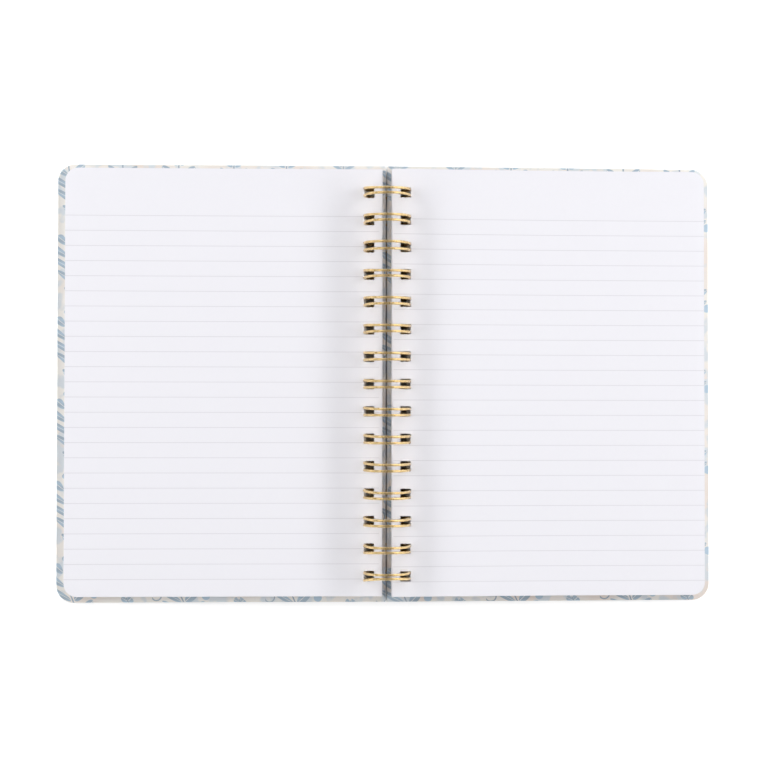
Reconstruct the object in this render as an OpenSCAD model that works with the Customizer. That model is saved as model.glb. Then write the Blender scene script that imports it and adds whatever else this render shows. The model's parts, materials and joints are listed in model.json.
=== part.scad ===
// Open notebook, bound with twin-loop wire.
// Two hard covers and two stacks of ruled leaves turn on one closed run of bent wire.
// X runs from fore-edge to fore-edge, Y from tail to head, and Z = 0 is the table.
// The origin is on the table, under the middle of the open book.

/* [Covers] */
// Width of a cover, from its spine edge to its fore-edge
cover_w = 152; // [90:1:230]
// Height of a cover, from tail to head
cover_h = 202.8; // [120:0.4:320]
// Radius of the two fore-edge corners of a cover
cover_corner_r = 8; // [3:0.5:20]
// Thickness of the grey board
board_t = 1.8; // [1.2:0.1:3]
// Thickness of the printed wrapping paper
wrap_t = 0.25; // [0.15:0.05:0.4]
// Width of the wrapping paper folded in over the board
turn_in = 15; // [12:1:25]
// Thickness of the pasted liner
liner_t = 0.2; // [0.1:0.05:0.4]
// Distance from the liner to the outer edges of the cover
liner_inset = 4; // [3:0.5:9]
// Distance from the liner to the spine edge of the cover
liner_spine_inset = 2; // [1:0.25:3]
// Gap between the spine edges of the two covers
spine_gap = 0.8; // [0.4:0.1:3]

/* [Leaves] */
// How much narrower a leaf is than a cover
leaf_less_w = 5.5; // [4:0.25:12]
// How much shorter a leaf is than a cover
leaf_less_h = 4.8; // [2.4:0.2:12]
// Distance from the middle of a cover up to the middle of a leaf
leaf_rise = 0.5; // [-1:0.1:1]
// Radius of the two fore-edge corners of a leaf
leaf_corner_r = 6; // [2:0.5:16]
// Thickness of the stack on the left
left_stack_t = 2.4; // [1:0.1:6]
// Thickness of the stack on the right
right_stack_t = 5.3; // [3:0.1:8]
// Dip of the left page between its holes and its fore-edge
left_dip = 0.4; // [0.1:0.1:0.6]
// Dip of the right page between its holes and its fore-edge
right_dip = 1.8; // [0.1:0.1:2.4]
// Gap left at the loops' centre line when the book is shut
fold_gap = 1.2; // [0.6:0.1:4]
// Clearance between a stack and the cover that it lies on
stack_seat = 0.05; // [0.02:0.01:0.1]

/* [Punched holes] */
// Distance from a cover's spine edge to its holes
cover_margin = 4.25; // [3:0.25:7]
// Distance from a leaf's spine edge to its holes
leaf_margin = 3.7; // [2.5:0.1:5.5]
// Room between the wire and the hole edges across the book
hole_fit = 0.2; // [0.15:0.05:0.5]
// Room between the wire and the hole edges along the book
hole_side_fit = 0.45; // [0.2:0.05:0.8]

/* [Wire] */
// Thickness of the wire
wire_d = 1.2; // [0.9:0.1:1.6]
// Least distance from the middle of a loop to the head or tail of a leaf
row_margin = 8; // [5:0.5:12]
// Distance from the middle of a cover up to the middle of the row of loops
row_rise = -0.3; // [-1:0.1:1]
// Distance from one loop to the next
loop_pitch = 12.7; // [11:0.1:13.3]
// Distance between the two wires of a loop
pair_pitch = 2.8; // [2.2:0.1:3.4]
// Radius of the bends between two loops
base_bend_r = 1.2; // [0.9:0.1:2]
// Straight run between a loop and the bend at its base
base_stub = 0.3; // [0.2:0.1:1]
// Gap between the loops' tips and the wire that they close on
seam_gap = 0.5; // [0.3:0.1:1.2]
// Angle of the loops' tips, round from the right
tip_angle = -94; // [-98:1:-90]

/* [Hidden] */

// Heights below are measured from the loops' centre line, for a half that lies level.
board_low = -fold_gap / 2 - max(left_stack_t, right_stack_t) - liner_t - wrap_t - board_t;
cover_low = board_low - wrap_t;
board_top = board_low + board_t;
turn_in_top = board_top + wrap_t;
cover_top = turn_in_top + liner_t;

// A cover reaches from the spine gap to its fore-edge.
cover_in = spine_gap / 2;
cover_out = cover_in + cover_w;
cover_hole_in = cover_in + cover_margin;

leaf_w = cover_w - leaf_less_w;
leaf_h = cover_h - leaf_less_h;

// The loops are as large as the thickest corner that turns inside them needs.
loop_in_r = norm([cover_hole_in, cover_low]) + hole_fit;
ring_r = loop_in_r + wire_d / 2;
loop_out_r = loop_in_r + wire_d;

// The holes end where the outside of the loops comes through the top of each plate.
function hole_out(top) = sqrt(pow(loop_out_r + hole_fit, 2) - pow(min(top, 0), 2));
hole_w = hole_out(cover_top) - cover_hole_in;
hole_h = pair_pitch + wire_d + 2 * hole_side_fit;

// Each half leans down from the raised loops until its fore-edge meets the table.
lean = asin(loop_out_r / norm([cover_out, cover_low])) - atan(-cover_low / cover_out);

// The tips stop short of the wire that joins the loops at their base.
tip_reach = pair_pitch / 2 + wire_d / 2;
base_reach = base_stub + base_bend_r + wire_d / 2;
seam_angle = atan(tip_reach / ring_r) + seam_gap / ring_r * 180 / PI + atan(base_reach / ring_r);
base_angle = 360 + tip_angle - seam_angle;

// The row has as many loops as the height of a leaf has room for.
row_room = leaf_h - 2 * (row_margin + abs(row_rise - leaf_rise));
loop_count = 1 + floor(row_room / loop_pitch);
loop_span = (loop_count - 1) * loop_pitch;

// How far a join reaches over the stretches of wire beside it, and stands out from them
join_land = 0.05;
join_step = 0.01;
// How far a hole's cutter runs past the plate
cut = 1;

function loop_y(i) = row_rise + i * loop_pitch - loop_span / 2;

// Circles and arcs
wire_fn = 24;
ring_fn = 72;
corner_fn = 64;
// Flat strips that a page's dip is made of
page_steps = 16;

// Sets a level half on its side of the loops and leans it to the table.
// side is 1 for the right half and -1 for the left half.
module seat_half(side) {
    mirror([side < 0 ? 1 : 0, 0, 0])
        translate([0, 0, loop_out_r])
            rotate([0, lean, 0])
                children();
}

// A plate with a square spine edge and two rounded fore-edge corners
module plate(x0, x1, y0, y1, corner_r, z0, z1) {
    translate([0, 0, z0])
        linear_extrude(z1 - z0) {
            translate([x0, y0])
                square([x1 - corner_r - x0, y1 - y0]);
            translate([x0, y0 + corner_r])
                square([x1 - x0, y1 - y0 - 2 * corner_r]);
            for (y = [y0 + corner_r, y1 - corner_r])
                translate([x1 - corner_r, y])
                    circle(r = corner_r, $fn = corner_fn);
        }
}

// A plate of the cover's outline, drawn in by inset along its three outer edges
module cover_plate(inset, spine_inset, z0, z1) {
    plate(cover_in + spine_inset, cover_out - inset,
          -cover_h / 2 + inset, cover_h / 2 - inset,
          max(cover_corner_r - inset, wrap_t), z0, z1);
}

// One row of punched holes that starts hole_in from the middle of the book
module hole_row(hole_in, z0, z1) {
    for (i = [0 : loop_count - 1])
        translate([hole_in, loop_y(i) - hole_h / 2, z0 - cut])
            cube([hole_w, hole_h, z1 - z0 + 2 * cut]);
}

// Grey board, cut to shape and punched with its wrapping on
module board() {
    difference() {
        cover_plate(wrap_t, wrap_t, board_low, board_top);
        hole_row(cover_hole_in, board_low, board_top);
    }
}

// Printed paper glued round the board, with its edges folded in
module wrap() {
    difference() {
        cover_plate(0, 0, cover_low, turn_in_top);
        cover_plate(wrap_t, wrap_t, board_low, board_top);
        cover_plate(turn_in, turn_in, board_top, turn_in_top + cut);
        hole_row(cover_hole_in, cover_low, turn_in_top);
    }
}

// Plain paper pasted over the folded edges and pressed down onto the board
module liner() {
    difference() {
        union() {
            cover_plate(liner_inset, liner_spine_inset, turn_in_top, cover_top);
            cover_plate(turn_in, turn_in, board_top, cover_top);
        }
        cover_plate(turn_in + liner_t, turn_in + liner_t, board_top + liner_t, cover_top + cut);
        hole_row(cover_hole_in, turn_in_top, cover_top);
    }
}

// Side of a stack that is level at its holes and dips between them and its fore-edge
module dipped_side(x0, x1, level_to, low, top, dip) {
    polygon(concat(
        [[x0 - cut, low], [x0 - cut, top]],
        [for (k = [0 : page_steps])
            let (t = 2 * k / page_steps - 1)
            [level_to + (x1 - level_to) * k / page_steps, top - dip * (1 - t * t)]],
        [[x1 + cut, top], [x1 + cut, low]]));
}

// A stack of leaves, hung on the loops by the outer ends of its holes
module leaves(stack_t, dip) {
    low = cover_top + stack_seat;
    top = cover_top + stack_t;
    hole_in = hole_out(top) - hole_w;
    x0 = hole_in - leaf_margin;
    x1 = x0 + leaf_w;
    difference() {
        intersection() {
            plate(x0, x1, leaf_rise - leaf_h / 2, leaf_rise + leaf_h / 2,
                  leaf_corner_r, low - cut, top + cut);
            translate([0, leaf_rise, 0])
                rotate([90, 0, 0])
                    linear_extrude(leaf_h + 2 * cut, center = true)
                        dipped_side(x0, x1, hole_out(top), low, top, dip);
        }
        hole_row(hole_in, cover_top, top);
    }
}

// A bend of the wire about the axis of rotate_extrude
module wire_bend(r, start, sweep) {
    rotate([0, 0, start])
        rotate_extrude(angle = sweep, $fn = ring_fn)
            translate([r, 0])
                circle(d = wire_d, $fn = wire_fn);
}

// A straight run of the wire, a hair thicker and longer, so that what it joins becomes one solid
module wire_join(run) {
    translate([0, 0, -join_land])
        cylinder(h = run + 2 * join_land, d = wire_d + 2 * join_step, $fn = wire_fn);
}

// Puts a piece on the loops' centre circle, with its Z along the wire
module on_ring(angle) {
    rotate([0, -angle, 0])
        translate([ring_r, 0, 0])
            children();
}

// One loop: two wires side by side round the book, joined by a hairpin tip
module wire_loop() {
    for (side = [-1, 1])
        translate([0, side * pair_pitch / 2, 0]) {
            rotate([90, 0, 0])
                wire_bend(ring_r, tip_angle, base_angle - tip_angle);
            on_ring(tip_angle)
                wire_join(0);
        }
    on_ring(tip_angle)
        rotate([0, 90, 0])
            wire_bend(pair_pitch / 2, -90, 180);
}

// The wire that joins the base of one loop to the base of the next
module base_link() {
    near = pair_pitch / 2;
    far = loop_pitch - near;
    on_ring(base_angle) {
        for (y = [near, far])
            translate([0, y, 0])
                wire_join(base_stub);
        translate([0, near + base_bend_r, base_stub])
            rotate([0, 90, 0])
                wire_bend(base_bend_r, 180, 90);
        translate([0, near + base_bend_r, base_stub + base_bend_r])
            rotate([-90, 0, 0])
                cylinder(h = far - near - 2 * base_bend_r, d = wire_d, $fn = wire_fn);
        translate([0, far - base_bend_r, base_stub])
            rotate([0, 90, 0])
                wire_bend(base_bend_r, 90, 90);
    }
}

module twin_loop_wire() {
    color("goldenrod")
        translate([0, 0, loop_out_r]) {
            for (i = [0 : loop_count - 1])
                translate([0, loop_y(i), 0])
                    wire_loop();
            for (i = [0 : loop_count - 2])
                translate([0, loop_y(i), 0])
                    base_link();
        }
}

module front_board() {
    color("darkgray") seat_half(-1) board();
}

module front_wrap() {
    color("lightsteelblue") seat_half(-1) wrap();
}

module front_liner() {
    color("ivory") seat_half(-1) liner();
}

module left_leaves() {
    color("whitesmoke") seat_half(-1) leaves(left_stack_t, left_dip);
}

module back_board() {
    color("darkgray") seat_half(1) board();
}

module back_wrap() {
    color("lightsteelblue") seat_half(1) wrap();
}

module back_liner() {
    color("ivory") seat_half(1) liner();
}

module right_leaves() {
    color("whitesmoke") seat_half(1) leaves(right_stack_t, right_dip);
}

twin_loop_wire();
front_board();
front_wrap();
front_liner();
left_leaves();
back_board();
back_wrap();
back_liner();
right_leaves();
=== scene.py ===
"""An open ruled notebook on a twin-loop wire binding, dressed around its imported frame. Metres throughout."""
import json
import math
import random

import bpy
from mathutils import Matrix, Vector


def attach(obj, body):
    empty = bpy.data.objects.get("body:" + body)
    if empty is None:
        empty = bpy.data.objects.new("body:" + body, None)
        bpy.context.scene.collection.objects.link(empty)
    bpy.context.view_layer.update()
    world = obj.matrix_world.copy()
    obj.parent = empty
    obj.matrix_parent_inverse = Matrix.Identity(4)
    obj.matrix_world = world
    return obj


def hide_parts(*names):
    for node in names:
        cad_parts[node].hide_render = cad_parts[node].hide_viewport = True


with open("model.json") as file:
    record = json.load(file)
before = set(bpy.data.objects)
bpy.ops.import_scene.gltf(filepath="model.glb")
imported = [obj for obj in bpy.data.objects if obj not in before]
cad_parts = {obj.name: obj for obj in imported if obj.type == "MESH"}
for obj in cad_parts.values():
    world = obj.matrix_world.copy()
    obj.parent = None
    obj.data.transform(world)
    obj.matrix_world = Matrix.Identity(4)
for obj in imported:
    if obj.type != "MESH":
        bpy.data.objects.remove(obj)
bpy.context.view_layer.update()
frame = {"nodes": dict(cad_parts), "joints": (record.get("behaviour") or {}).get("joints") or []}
nodes = frame["nodes"]
mm = 0.001

# Camera
# It hangs about 0.8 m over the open book, a little left of the loops, and looks almost straight down.
camera_place = (-42.7 * mm, -16.2 * mm, 800 * mm)
camera_pitch = math.radians(1.149)
camera_yaw = math.radians(-2.999)
camera_roll = math.radians(0.052)
sensor_mm = 36
lens_mm = 80.217

bpy.ops.object.camera_add(location=camera_place)
camera = bpy.context.object
camera.rotation_mode = "ZXY"
camera.rotation_euler = (camera_pitch, camera_yaw, camera_roll)
camera.data.sensor_width = sensor_mm
camera.data.lens = lens_mm
bpy.context.scene.camera = camera
bpy.context.scene.view_settings.view_transform = "Standard"

# Twin-loop wire
# One round steel wire with a bright gold-coloured coating. It runs from head to tail, bent into a loop
# of two wires at each hole, and the loops' round tips are closed in on the bends that join them.
wire_r = 0.6 * mm
wire_sides = 16
ring_r = 10.4 * mm
ring_steps = 60
base_angle = math.radians(240.9)
tip_angle = math.radians(-94)
top_angle = math.radians(90)
base_bend_r = 1.2 * mm
base_stub = 0.3 * mm
side_angle = math.radians(180)
# How far apart the two wires of a loop stand, below its left side and at its right side
left_width = 3.35 * mm
right_width = 2.8 * mm
# The same at the top of each loop, from tail to head, because they were pressed together unevenly
top_widths = [
    w * mm
    for w in (1.75, 2.1, 2.4, 2.55, 2.85, 2.85, 2.75, 2.75, 2.9, 2.75, 2.75, 2.4, 3.3, 2.5, 2.3)
]
# How far the top of each loop leans towards the head, from tail to head
top_drifts = [
    d * mm
    for d in (0.8, 0.1, -0.3, -0.5, -0.5, -0.4, -0.4, -0.3, -0.2, -0.1, -0.1, -0.3, -0.1, 0, -0.35)
]

# The covers and the stacks turn about the loops' centre line.
ring_z = frame["joints"][0]["pos_m"][2]

wire_weld = 0.02 * mm
fewest_steps = 4
wall_area = mm * mm
wall_facing = 0.9999
wall_apart = 0.05 * mm


def wall_places(node, axis):
    """The places, along an axis, of a frame piece's flat walls that face along it."""
    places = []
    for face in sorted(nodes[node].data.polygons, key=lambda face: face.center.dot(axis)):
        if face.area > wall_area and abs(face.normal.dot(axis)) > wall_facing:
            place = face.center.dot(axis)
            if not places or place > places[-1] + wall_apart:
                places.append(place)
    return places


def pick(*pieces):
    """Makes these pieces the only ones selected, and the first of them the active one."""
    bpy.ops.object.select_all(action="DESELECT")
    for piece in pieces:
        piece.select_set(True)
    bpy.context.view_layer.objects.active = pieces[0]


def edit(piece):
    """Picks a piece and opens it for editing."""
    pick(piece)
    bpy.ops.object.mode_set(mode="EDIT")


def leave_edit():
    bpy.ops.object.mode_set(mode="OBJECT")


def choose(piece, kind, chosen):
    """Opens a piece for editing with only the chosen vertices, edges or faces selected."""
    edit(piece)
    bpy.ops.mesh.select_mode(type=kind)
    bpy.ops.mesh.select_all(action="DESELECT")
    leave_edit()
    elements = {"VERT": piece.data.vertices, "EDGE": piece.data.edges, "FACE": piece.data.polygons}[kind]
    for element in elements:
        element.select = chosen(element)
    edit(piece)


hole_sides = wall_places("left_leaves", Vector((0, 1, 0)))[1:-1]
loop_ys = [(near + far) / 2 for near, far in zip(hole_sides[::2], hole_sides[1::2])]


def on_ring(angle, y):
    return Vector((ring_r * math.cos(angle), y, ring_z + ring_r * math.sin(angle)))


def swing(start, end, middle, axis):
    """Spins the open end of the wire about an axis, from one angle to another."""
    steps = max(fewest_steps, round(abs(end - start) / (2 * math.pi) * ring_steps))
    bpy.ops.mesh.spin(
        steps=steps, angle=end - start, center=middle, axis=Vector(axis).normalized(), dupli=False,
    )


def bow(start, end, side_y, top_y):
    """Bends the open end round a loop that stands at side_y where it is upright and at top_y at its top."""
    swing(start, end, (0, side_y, ring_z), (0, 1, (side_y - top_y) / ring_r))


def run(way):
    """Draws the open end of the wire straight on."""
    bpy.ops.mesh.extrude_edges_move(TRANSFORM_OT_translate={"value": way})


base_way = Vector((-math.sin(base_angle), 0, math.cos(base_angle)))
base_out = Vector((math.cos(base_angle), 0, math.sin(base_angle)))
tip_out = Vector((math.cos(tip_angle), 0, math.sin(tip_angle)))

turns = []
for i, y in enumerate(loop_ys):
    left, right = left_width / 2, right_width / 2
    top = top_widths[i] / 2
    top_y = y + top_drifts[i]
    right_y = y + top_drifts[i] / 2
    bpy.ops.object.select_all(action="DESELECT")
    bpy.ops.mesh.primitive_circle_add(
        vertices=wire_sides, radius=wire_r,
        location=on_ring(base_angle, y - left), rotation=(0, -base_angle, 0),
    )
    turn = bpy.context.object
    bpy.ops.object.transform_apply(location=True, rotation=True, scale=True)
    edit(turn)
    bpy.ops.mesh.select_all(action="SELECT")
    bow(base_angle, side_angle, y - left, y - left)
    bow(side_angle, top_angle, y - left, top_y - top)
    bow(top_angle, 0, right_y - right, top_y - top)
    bow(0, tip_angle, right_y - right, right_y - right)
    swing(0, math.pi, on_ring(tip_angle, right_y), -tip_out)
    bow(tip_angle, 0, right_y + right, right_y + right)
    bow(0, top_angle, right_y + right, top_y + top)
    bow(top_angle, side_angle, y + left, top_y + top)
    bow(side_angle, base_angle, y + left, y + left)
    if i + 1 < len(loop_ys):
        near = y + left
        far = loop_ys[i + 1] - left
        run(base_way * base_stub)
        swing(0, math.pi / 2, on_ring(base_angle, near + base_bend_r) + base_way * base_stub, base_out)
        run((0, far - near - 2 * base_bend_r, 0))
        swing(0, math.pi / 2, on_ring(base_angle, far - base_bend_r) + base_way * base_stub, base_out)
        run(-base_way * base_stub)
    leave_edit()
    turns.append(turn)
pick(*turns)
bpy.ops.object.join()
wire = bpy.context.object
wire.name = "loop_wire"
edit(wire)
bpy.ops.mesh.select_all(action="SELECT")
bpy.ops.mesh.remove_doubles(threshold=wire_weld)
bpy.ops.mesh.fill_holes(sides=wire_sides)
bpy.ops.mesh.normals_make_consistent(inside=False)
leave_edit()
bpy.ops.object.shade_smooth()


class Shade:
    """One output in a material's nodes. Sums, products and comparisons add the Math nodes for them."""

    def __init__(self, tree, socket):
        self.tree = tree
        self.socket = socket

    def node(self, kind, settings, values, output=0):
        """Adds a node of any kind, sets it up, fills its sockets and gives back one of its outputs."""
        made = self.tree.nodes.new(kind)
        for name, value in settings.items():
            setattr(made, name, value)
        for place, value in values.items():
            if isinstance(value, Shade):
                self.tree.links.new(value.socket, made.inputs[place])
            else:
                made.inputs[place].default_value = value
        return Shade(self.tree, made.outputs[output])

    def math(self, operation, *others, clamp=False):
        settings = {"operation": operation, "use_clamp": clamp}
        return self.node("ShaderNodeMath", settings, dict(enumerate((self,) + others)))

    def __add__(self, other):
        return self.math("ADD", other)

    __radd__ = __add__

    def __sub__(self, other):
        return self.math("SUBTRACT", other)

    def __rsub__(self, other):
        return (self * -1) + other

    def __mul__(self, other):
        return self.math("MULTIPLY", other)

    __rmul__ = __mul__

    def __truediv__(self, other):
        return self.math("DIVIDE", other)

    def __pow__(self, other):
        return self.math("POWER", other)

    def __lt__(self, other):
        return self.math("LESS_THAN", other)

    def __gt__(self, other):
        return self.math("GREATER_THAN", other)

    def blend(self, first, second):
        """A colour that goes from the first to the second as this shade goes from 0 to 1."""
        return self.node("ShaderNodeMix", {"data_type": "RGBA"}, {0: self, 6: first, 7: second}, output=2)

    def noise(self, scale, detail=2.0, roughness=0.5):
        """Cloudy noise over a place, about 0 to 1."""
        return self.node("ShaderNodeTexNoise", {}, {0: self, 2: scale, 3: detail, 4: roughness})

    def clamped(self):
        """The same, kept between 0 and 1."""
        return self.math("ADD", 0.0, clamp=True)

    def parts(self):
        """The x, y and z of a place or a direction."""
        split = self.node("ShaderNodeSeparateXYZ", {}, {0: self})
        return [Shade(self.tree, part) for part in split.socket.node.outputs]

    def bump(self, height, strength, distance):
        settings = {"Strength": strength, "Distance": distance, "Height": height}
        return self.node("ShaderNodeBump", {}, settings)


def finish(name):
    """A new material, its main shader and the place of each point on the piece."""
    material = bpy.data.materials.new(name)
    material.use_nodes = True
    tree = material.node_tree
    place = tree.nodes.new("ShaderNodeTexCoord").outputs["Object"]
    return material, tree.nodes["Principled BSDF"], Shade(tree, place)


def feed(shader, **inputs):
    """Sets the main shader's sockets to numbers, colours or shades."""
    for name, value in inputs.items():
        socket = shader.inputs[name.replace("_", " ").title()]
        if isinstance(value, Shade):
            value.tree.links.new(value.socket, socket)
        else:
            socket.default_value = value


gold, shader, place = finish("gold_coating")
smear = place.noise(900, 3)
feed(
    shader,
    base_color=smear.blend((0.84, 0.61, 0.28, 1), (0.91, 0.70, 0.37, 1)),
    roughness=0.22 + smear * 0.12,
    metallic=1.0,
    normal=place.bump(place.noise(2500), 0.08, 0.05 * mm),
)
wire.data.materials.append(gold)
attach(wire, "binding")
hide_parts("twin_loop_wire")

# Boards
# Grey binder's board, pressed from waste paper. It shows only in the walls of the punched holes.
greyboard, shader, place = finish("greyboard")
fibres = place.noise(1400, 5, 0.7)
feed(
    shader,
    base_color=fibres.blend((0.30, 0.28, 0.26, 1), (0.46, 0.44, 0.41, 1)),
    roughness=0.95,
    normal=place.bump(fibres, 0.4, 0.1 * mm),
)
for node in ("front_board", "back_board"):
    nodes[node].data.materials.clear()
    nodes[node].data.materials.append(greyboard)

# Printed wraps
# Smooth paper printed with blue-grey leafy sprigs on ivory. It is glued round each board and folded over
# its edges, so the print shows along the covers' margins and the paper rounds the board's edges.
edge_round = 0.35 * mm
round_segments = 3
corner_r = 8 * mm
wrap_weld = 0.001 * mm
flat_angle = math.radians(0.5)
sharp_angle = math.radians(50)
# A sharp edge further in from the cover's outline than this belongs to a punched hole, and stays sharp.
outline_depth = 0.1 * mm


def level_axes(node):
    """A leaning plate's own directions: out from the loops, and up through its face."""
    top = max(nodes[node].data.polygons, key=lambda face: (face.normal.z > 0) * face.area)
    up = top.normal.copy()
    out = Vector((0, 1, 0)).cross(up)
    if top.center.x < 0:
        out = -out
    return out, up


ring_centre = Vector((0, 0, ring_z))
wraps = {}
for side in ("front", "back"):
    node = side + "_wrap"
    out = level_axes(node)[0]
    pick(nodes[node])
    bpy.ops.object.duplicate()
    wrap = bpy.context.object
    wrap.name = side + "_printed_wrap"
    edit(wrap)
    bpy.ops.mesh.select_all(action="SELECT")
    bpy.ops.mesh.remove_doubles(threshold=wrap_weld)
    bpy.ops.mesh.dissolve_limited(angle_limit=flat_angle)
    bpy.ops.mesh.select_all(action="DESELECT")
    bpy.ops.mesh.select_mode(type="EDGE")
    bpy.ops.mesh.edges_select_sharp(sharpness=sharp_angle)
    leave_edit()
    reach = [(corner.co - ring_centre).dot(out) for corner in wrap.data.vertices]
    spine, fore = min(reach), max(reach)
    head = max(corner.co.y for corner in wrap.data.vertices)
    for edge in wrap.data.edges:
        inside = []
        for index in edge.vertices:
            along, across = reach[index], abs(wrap.data.vertices[index].co.y)
            depth = min(along - spine, fore - along, head - across)
            in_corner = (along - (fore - corner_r), across - (head - corner_r))
            if min(in_corner) > 0:
                depth = corner_r - math.hypot(*in_corner)
            inside.append(depth)
        if max(inside) > outline_depth:
            edge.select = False
    edit(wrap)
    bpy.ops.mesh.bevel(offset=edge_round, segments=round_segments, affect="EDGES")
    leave_edit()
    bpy.ops.object.shade_smooth_by_angle(angle=math.radians(40))
    wraps[side] = wrap

sprig_w = 26 * mm
sprig_h = 38 * mm
bend_reach = 5 * mm
curl_reach = 2.5 * mm
leaf_step = 6.4 * mm
leaf_lean = 0.7
leaf_growth = 3.9 * mm
leaf_shortest = 0.6 * mm
leaf_half_w = 2.1 * mm
leaf_sharpness = 9
vein_half_w = 0.14 * mm
hatch_w = 0.55 * mm
stem_half_w = 0.32 * mm
berry_off = 11 * mm
berry_r = 1.9 * mm
fine_ring_r = 2.4 * mm
fine_ring_half_w = 0.28 * mm
ivory = (0.83, 0.805, 0.76, 1)
blush = (0.80, 0.72, 0.66, 1)
pale_blue = (0.66, 0.70, 0.73, 1)
sky_blue = (0.44, 0.56, 0.66, 1)
slate_blue = (0.33, 0.40, 0.47, 1)
print_paper, shader, place = finish("printed_wrap")
x, y, z = place.parts()
# The height is added to both directions, so that the print runs on round the edges.
bend = (place.noise(26, 1) - 0.5) * bend_reach
across = x + z + bend
column = (across / sprig_w).math("FLOOR")
odd = (column * 0.5).math("FRACT") > 0.25
u = ((across / sprig_w).math("FRACT") - 0.5) * sprig_w
up_page = (y + z) + odd * (sprig_h / 2)
v = ((up_page / sprig_h).math("FRACT") - 0.5) * sprig_h
curl = (v / sprig_h * 2 * math.pi).math("SINE") * curl_reach * (odd * 2 - 1)
off_stem = u - curl
away = off_stem.math("ABSOLUTE")
taper = (1 - (v / (0.5 * sprig_h)) ** 2).math("MAXIMUM", 0.0)
leaf_v = ((v - away * leaf_lean) / leaf_step).math("FRACT") * leaf_step - leaf_step / 2
leaf_long = taper * leaf_growth + leaf_shortest
leaf_at = (away - leaf_long * 1.15) / leaf_long
leaf_across = leaf_v / leaf_half_w
leaf_field = 1 - leaf_at * leaf_at - leaf_across * leaf_across
leaf_mask = (leaf_field * leaf_sharpness).math("MINIMUM", 1.0, clamp=True)
vein = (leaf_v.math("ABSOLUTE") < vein_half_w) * leaf_mask
hatch = ((leaf_v + away * 0.5) / hatch_w).math("SINE") * 0.5 + 0.5
stem = (away < stem_half_w) * (taper > 0.12)
berry_v = ((v / sprig_h + 0.5).math("FRACT") - 0.5) * sprig_h
berry = ((u - berry_off) * (u - berry_off) + berry_v * berry_v).math("SQRT") < berry_r
from_ring = ((u + berry_off) * (u + berry_off) + berry_v * berry_v).math("SQRT") - fine_ring_r
fine_ring = from_ring.math("ABSOLUTE") < fine_ring_half_w
cloud = place.noise(38, 2)
ground = ((cloud - 0.45) * 5).clamped().blend(ivory, blush)
wash = (place.noise(150, 2) - 0.5) * 9
ground = wash.clamped().blend(ground, pale_blue)
leaf_tone = (hatch * 0.6 + (cloud - 0.3) * 0.8).clamped().blend(sky_blue, slate_blue)
printed = leaf_mask.blend(ground, leaf_tone)
printed = vein.blend(printed, ivory)
printed = stem.blend(printed, slate_blue)
printed = berry.blend(printed, sky_blue)
printed = fine_ring.blend(printed, slate_blue)
grain = place.noise(2200, 3)
feed(
    shader,
    base_color=printed,
    roughness=0.42 + grain * 0.12,
    normal=place.bump(grain, 0.12, 0.05 * mm),
)
for side, wrap in wraps.items():
    wrap.data.materials.clear()
    wrap.data.materials.append(print_paper)
    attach(wrap, side + "_cover")
    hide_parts(side + "_wrap")

# Pasted liners
# A plain ivory sheet pasted inside each cover over the folded edges of the wrap.
liner_paper, shader, place = finish("liner_paper")
felt = place.noise(1700, 4, 0.6)
feed(
    shader,
    base_color=felt.blend((0.78, 0.765, 0.72, 1), (0.83, 0.815, 0.775, 1)),
    roughness=0.85,
    normal=place.bump(felt, 0.15, 0.06 * mm),
)
for node in ("front_liner", "back_liner"):
    nodes[node].data.materials.clear()
    nodes[node].data.materials.append(liner_paper)

# Ruled leaves
# Sheets of white writing paper with rounded corners, punched with one slot for each loop and ruled in
# pale grey every 7 mm. The stacks sag onto the covers between the loops and the fore-edge.
sheet_t = 0.085 * mm
leaf_corner_r = 6 * mm
leaf_corner_segments = 8
sheet_shift = 0.12 * mm
flat_end = 1.5 * mm
at_edge = 0.01 * mm
bend_count = 16
line_step = 7 * mm
line_count = 25
line_w = 0.28 * mm
random.seed(7)
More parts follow.
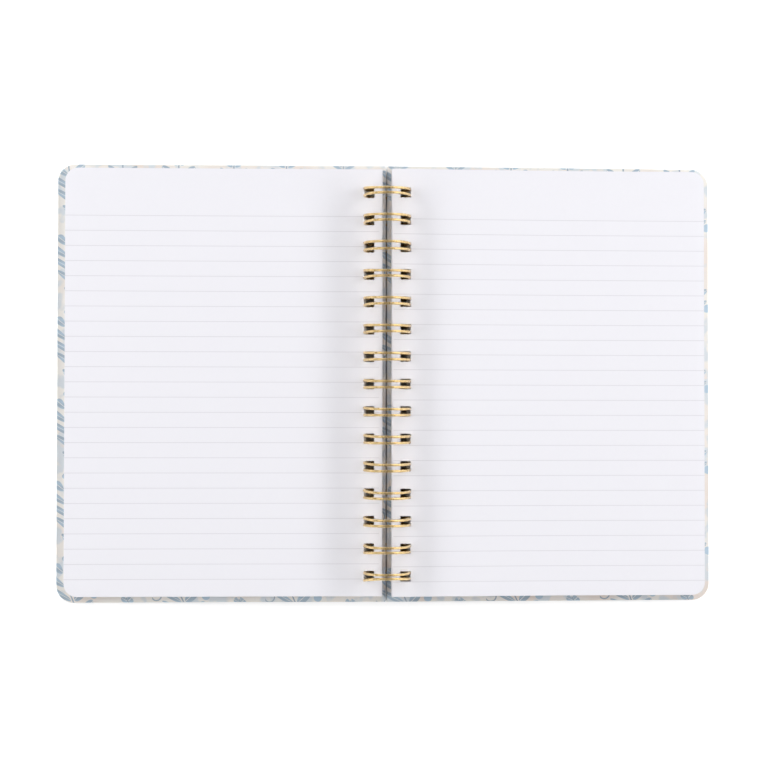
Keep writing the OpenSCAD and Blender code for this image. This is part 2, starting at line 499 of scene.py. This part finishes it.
# For each stack: the side it lies on, its names and its number of sheets. Then how far from the head its
# first line lies, how far from the spine edge its lines begin, and how much its top swells at five places
# from the spine edge to the fore-edge, in mm.
for side, hand, cover, sheets, head_line, bare, sags in (
    (-1, "left", "front", 24, 22.0 * mm, 1.4 * mm, (0.3, -0.1, -0.3, -0.2, 0.2)),
    (1, "right", "back", 53, 23.2 * mm, 0.4 * mm, (0.1, -1.3, -2.0, -1.5, -0.4)),
):
    node = hand + "_leaves"
    out, up = level_axes(cover + "_board")
    walls = wall_places(node, out)
    spine, hole_in, hole_out, fore = walls[0], walls[1], walls[2], walls[-1]
    sides = wall_places(node, Vector((0, 1, 0)))
    heights = [(corner.co - ring_centre).dot(up) for corner in nodes[node].data.vertices]
    low, high = min(heights), max(heights)
    shift = ring_centre.dot(out)
    spine, hole_in, hole_out, fore = (place_out - shift for place_out in (spine, hole_in, hole_out, fore))
    tail, head = sides[0], sides[-1]

    bpy.ops.object.select_all(action="DESELECT")
    bpy.ops.mesh.primitive_plane_add(
        size=1, location=(side * (spine + fore) / 2, (tail + head) / 2, low),
    )
    sheet = bpy.context.object
    sheet.scale = (fore - spine, head - tail, 1)
    bpy.ops.object.transform_apply(location=True, rotation=True, scale=True)
    edit(sheet)
    last_bend = fore - leaf_corner_r - flat_end
    bends = [hole_out + (last_bend - hole_out) * k / bend_count for k in range(1, bend_count + 1)]
    for along in [hole_in, hole_out] + bends:
        bpy.ops.mesh.select_all(action="SELECT")
        bpy.ops.mesh.bisect(plane_co=(side * along, 0, 0), plane_no=(1, 0, 0))
    leave_edit()
    for along in sides[1:-1]:
        choose(sheet, "FACE", lambda face: hole_in < side * face.center.x < hole_out)
        bpy.ops.mesh.bisect(plane_co=(0, along, 0), plane_no=(0, 1, 0))
        leave_edit()
    slots = list(zip(sides[1:-1:2], sides[2:-1:2]))
    choose(
        sheet, "FACE",
        lambda face: hole_in < side * face.center.x < hole_out
        and any(near < face.center.y < far for near, far in slots),
    )
    bpy.ops.mesh.delete(type="FACE")
    leave_edit()
    choose(sheet, "VERT", lambda corner: side * corner.co.x > fore - at_edge)
    bpy.ops.mesh.bevel(affect="VERTICES", offset=leaf_corner_r, segments=leaf_corner_segments)
    leave_edit()
    thick = sheet.modifiers.new("Thickness", "SOLIDIFY")
    thick.thickness = sheet_t
    thick.offset = 1
    bpy.ops.object.modifier_apply(modifier="Thickness")

    lift = (high - low - sheet_t) / (sheets - 1)
    pile = [sheet]
    for k in range(1, sheets):
        pick(sheet)
        bpy.ops.object.duplicate()
        copy = bpy.context.object
        copy.location = (
            random.uniform(-sheet_shift, 0) * side,
            random.uniform(-0.5, 0.5) * sheet_shift,
            k * lift,
        )
        pile.append(copy)
    pile[-1].location.x = pile[-1].location.y = 0
    pick(*pile)
    bpy.ops.object.transform_apply(location=True, rotation=False, scale=False)
    bpy.ops.object.join()
    stack = bpy.context.object
    stack.name = hand + "_ruled_leaves"

    middle = (side * (spine + fore) / 2, (tail + head) / 2, (low + high) / 2)
    bpy.ops.object.select_all(action="DESELECT")
    bpy.ops.object.add(type="LATTICE", location=middle)
    cage = bpy.context.object
    cage.scale = (fore - spine, head - tail, high - low)
    cage.data.points_u, cage.data.points_v, cage.data.points_w = len(sags), 2, 2
    cage.data.interpolation_type_u = "KEY_CATMULL_ROM"
    for point in cage.data.points:
        if point.co.z > 0:
            share = (side * point.co.x + 0.5) * (len(sags) - 1)
            point.co_deform.z += sags[round(share)] * mm / (high - low)
    sag = stack.modifiers.new("Sag", "LATTICE")
    sag.object = cage
    bpy.context.view_layer.update()
    pick(stack)
    bpy.ops.object.modifier_apply(modifier="Sag")
    bpy.data.objects.remove(cage)
    stack.rotation_euler = (0, math.atan2(up.x, up.z), 0)
    stack.location = ring_centre
    bpy.ops.object.transform_apply(location=True, rotation=True, scale=True)
    bpy.ops.object.shade_smooth_by_angle(angle=math.radians(30))

    paper, shader, place = finish(hand + "_ruled_paper")
    x, y = place.parts()[:2]
    down = (head - head_line) - y
    on_lines = (down > -line_w) * (down < (line_count - 1) * line_step + line_w) * (x * side > spine + bare)
    from_line = ((down / line_step + 0.5).math("FRACT") - 0.5).math("ABSOLUTE") * line_step
    ruled = (from_line < line_w / 2) * on_lines
    pulp = place.noise(900, 4, 0.6)
    white = pulp.blend((0.845, 0.838, 0.885, 1), (0.865, 0.858, 0.905, 1))
    feed(
        shader,
        base_color=ruled.blend(white, (0.70, 0.69, 0.735, 1)),
        roughness=0.8,
        normal=place.bump(pulp, 0.1, 0.05 * mm),
    )
    stack.data.materials.append(paper)
    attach(stack, hand + "_stack")
    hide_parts(node)

# Table
# A plain white table top that the book lies on. It keeps the book's soft shadow.
table_w = 24
table_gap = 0.02 * mm
cover_reach = 20 * mm
covered_below = 0.4
near_glow = 0.45
far_glow = 0.4
glow_rise = 0.4
glow_start = 0.6
bpy.ops.object.select_all(action="DESELECT")
bpy.ops.mesh.primitive_plane_add(size=table_w, location=(0, 0, -table_gap))
table = bpy.context.object
table.name = "table"
white_top, shader, place = finish("white_table")
feed(shader, base_color=(0.8, 0.8, 0.8, 1), roughness=0.9)


def seen_by_eye(shade):
    """1 for rays that the camera, a mirror or a glass sends out, 0 for those that light things."""
    path = shade.node("ShaderNodeLightPath", {}, {})
    rays = path.socket.node.outputs
    for name in ("Is Glossy Ray", "Is Transmission Ray"):
        path = path.math("MAXIMUM", Shade(path.tree, rays[name]))
    return path


# It looks white, but dark where the book covers it, as seen through the gap between the covers. Far from
# the book, where the lamps don't reach, it glows more.
openness = place.node("ShaderNodeAmbientOcclusion", {"samples": 8}, {"Distance": cover_reach}, output=1)
far = place.node("ShaderNodeVectorMath", {"operation": "LENGTH"}, {0: place}, output=1)
more = ((far - glow_start) * glow_rise).math("MINIMUM", far_glow).math("MAXIMUM", 0.0)
strength = seen_by_eye(place) * (openness > covered_below) * (more + near_glow)
glow = place.node("ShaderNodeEmission", {}, {"Color": (1, 1, 1, 1), "Strength": strength})
both = glow.node("ShaderNodeAddShader", {}, {0: glow, 1: Shade(glow.tree, shader.outputs[0])})
both.tree.links.new(both.socket, both.tree.nodes["Material Output"].inputs["Surface"])
table.data.materials.append(white_top)

# Light
# A long soft lamp stands low on each side and lights the paper, the right one more than the left one.
# The wire mirrors two dim panels higher up in their place, so its bright parts keep their colour.
for name, spot, long, tall, power in (
    ("left_lamp", (-1.4, 0.3, 0.8), 2.4, 0.4, 28),
    ("right_lamp", (1.4, 0.3, 0.8), 2.4, 0.4, 31),
    ("left_panel", (-0.88, 0.3, 1.21), 2.0, 0.5, 6),
    ("right_panel", (1.1, 0.3, 1.02), 2.0, 1.1, 12),
):
    bpy.ops.object.light_add(type="AREA", location=spot)
    lamp = bpy.context.object
    lamp.name = name
    lamp.data.shape = "RECTANGLE"
    lamp.data.size = long
    lamp.data.size_y = tall
    lamp.data.energy = power
    lamp.rotation_euler = (Vector((0, 0, 0)) - lamp.location).to_track_quat("-Z", "Y").to_euler()
    lamp.visible_glossy = name.endswith("panel")
    lamp.visible_diffuse = name.endswith("lamp")

# The room gives a dim light from all round. The camera and mirrored rays see it white below backdrop_top,
# the sine of the angle above the horizon.
room_light = 0.22
backdrop_light = 0.78
backdrop_top = 0.3
world = bpy.data.worlds.new("room")
bpy.context.scene.world = world
world.use_nodes = True
background = world.node_tree.nodes["Background"]
background.inputs["Color"].default_value = (1, 1, 1, 1)
way = Shade(world.node_tree, world.node_tree.nodes.new("ShaderNodeTexCoord").outputs["Generated"])
height = way.parts()[2]
strength = seen_by_eye(way) * (height < backdrop_top) * backdrop_light + room_light
world.node_tree.links.new(strength.socket, background.inputs["Strength"])
